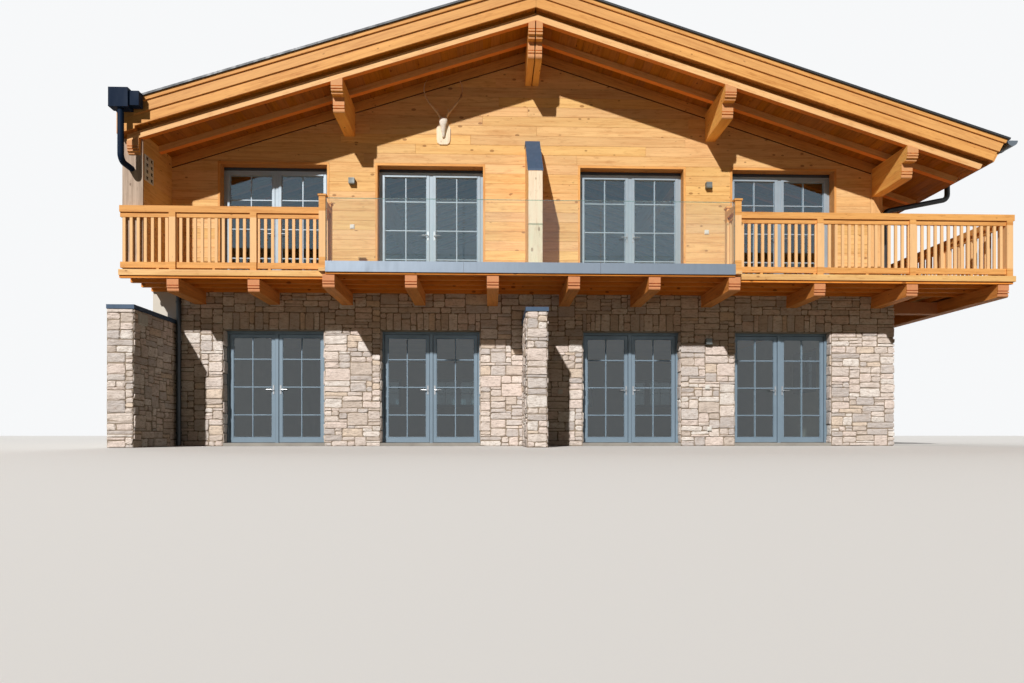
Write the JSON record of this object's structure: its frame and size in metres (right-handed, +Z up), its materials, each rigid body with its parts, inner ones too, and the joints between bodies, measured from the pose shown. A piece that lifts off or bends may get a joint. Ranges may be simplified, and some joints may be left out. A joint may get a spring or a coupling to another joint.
{
  "type": "alpine chalet",
  "caption": "End house of a chalet row: stone ground storey, timber upper storey, carved gable roof, wrap-round balcony with glass and wooden railings, opening terrace doors.",
  "frame": {"origin": "on the ground, under the ridge and midway between the front and back walls", "axes": "+X to the right along the front wall, +Y into the house, +Z up"},
  "size_m": [15.69, 14.53, 8.0905],
  "materials": {
    "stone": "rough",
    "render": "matt",
    "floor_screed": "matt",
    "larch": "satin",
    "pale_larch": "satin",
    "soffit_wood": "satin",
    "grey_frame": "satin",
    "dark_metal": "satin",
    "grey_metal": "satin",
    "roof_tile": "matt",
    "clear_glass": "gloss"
  },
  "bodies": {
    "house": {"ground_floor": "floor_screed", "front_stone_piers": "stone", "front_stone_lintel": "stone", "right_stone_wall": "stone", "back_stone_wall": "stone", "party_wall": "render", "stone_screens": "stone", "metal_wall_caps": "grey_metal", "upper_floor": "pale_larch", "front_timber_wall": "larch", "front_gable": "larch", "right_timber_wall": "larch", "back_timber_wall": "larch", "timber_wing_wall": "larch", "timber_divider": "larch", "ridge_purlin": "pale_larch", "side_purlins": "pale_larch", "left_rafters": "soffit_wood", "right_rafters": "soffit_wood", "roof_deck": "soffit_wood", "roof_covering": "roof_tile", "verge_boards": "pale_larch", "eaves_board": "pale_larch", "ridge_cap": "roof_tile", "eaves_gutter": "dark_metal", "right_downpipe": "dark_metal", "valley_gutter": "grey_metal", "rain_hopper": "grey_metal", "balcony_brackets": "pale_larch", "balcony_joists": "soffit_wood", "balcony_deck": "larch", "deck_edge_boards": "pale_larch", "glass_channel": "grey_metal", "balcony_glass": "clear_glass", "front_railings": "pale_larch", "side_railing": "pale_larch", "glass_end_railings": "pale_larch", "door_frames": "grey_frame", "window_frames": "grey_frame", "window_glass": "clear_glass", "window_casings": "pale_larch", "shutter_boxes": "dark_metal", "wall_lamps": "dark_metal"},
    "leaf_1": {"leaf_frame_1": "grey_frame", "leaf_glass_1": "clear_glass"},
    "leaf_2": {"leaf_frame_2": "grey_frame", "leaf_glass_2": "clear_glass"},
    "leaf_3": {"leaf_frame_3": "grey_frame", "leaf_glass_3": "clear_glass"},
    "leaf_4": {"leaf_frame_4": "grey_frame", "leaf_glass_4": "clear_glass"},
    "leaf_5": {"leaf_frame_5": "grey_frame", "leaf_glass_5": "clear_glass"},
    "leaf_6": {"leaf_frame_6": "grey_frame", "leaf_glass_6": "clear_glass"},
    "leaf_7": {"leaf_frame_7": "grey_frame", "leaf_glass_7": "clear_glass"},
    "leaf_8": {"leaf_frame_8": "grey_frame", "leaf_glass_8": "clear_glass"}
  },
  "joints": [
    {"name": "leaf_1_hinge", "type": "hinge", "parent": "house", "child": "leaf_1", "pos_m": [-5.772, -5.54, 1.1], "axis": [0, 0, 1], "range_deg": [0, 90]},
    {"name": "leaf_2_hinge", "type": "hinge", "parent": "house", "child": "leaf_2", "pos_m": [-3.988, -5.54, 1.1], "axis": [0, 0, -1], "range_deg": [0, 90]},
    {"name": "leaf_3_hinge", "type": "hinge", "parent": "house", "child": "leaf_3", "pos_m": [-2.822, -5.54, 1.1], "axis": [0, 0, 1], "range_deg": [0, 90]},
    {"name": "leaf_4_hinge", "type": "hinge", "parent": "house", "child": "leaf_4", "pos_m": [-1.038, -5.54, 1.1], "axis": [0, 0, -1], "range_deg": [0, 90]},
    {"name": "leaf_5_hinge", "type": "hinge", "parent": "house", "child": "leaf_5", "pos_m": [1.038, -5.54, 1.1], "axis": [0, 0, 1], "range_deg": [0, 90]},
    {"name": "leaf_6_hinge", "type": "hinge", "parent": "house", "child": "leaf_6", "pos_m": [2.822, -5.54, 1.1], "axis": [0, 0, -1], "range_deg": [0, 90]},
    {"name": "leaf_7_hinge", "type": "hinge", "parent": "house", "child": "leaf_7", "pos_m": [3.988, -5.54, 1.1], "axis": [0, 0, 1], "range_deg": [0, 90]},
    {"name": "leaf_8_hinge", "type": "hinge", "parent": "house", "child": "leaf_8", "pos_m": [5.772, -5.54, 1.1], "axis": [0, 0, -1], "range_deg": [0, 90]}
  ]
}
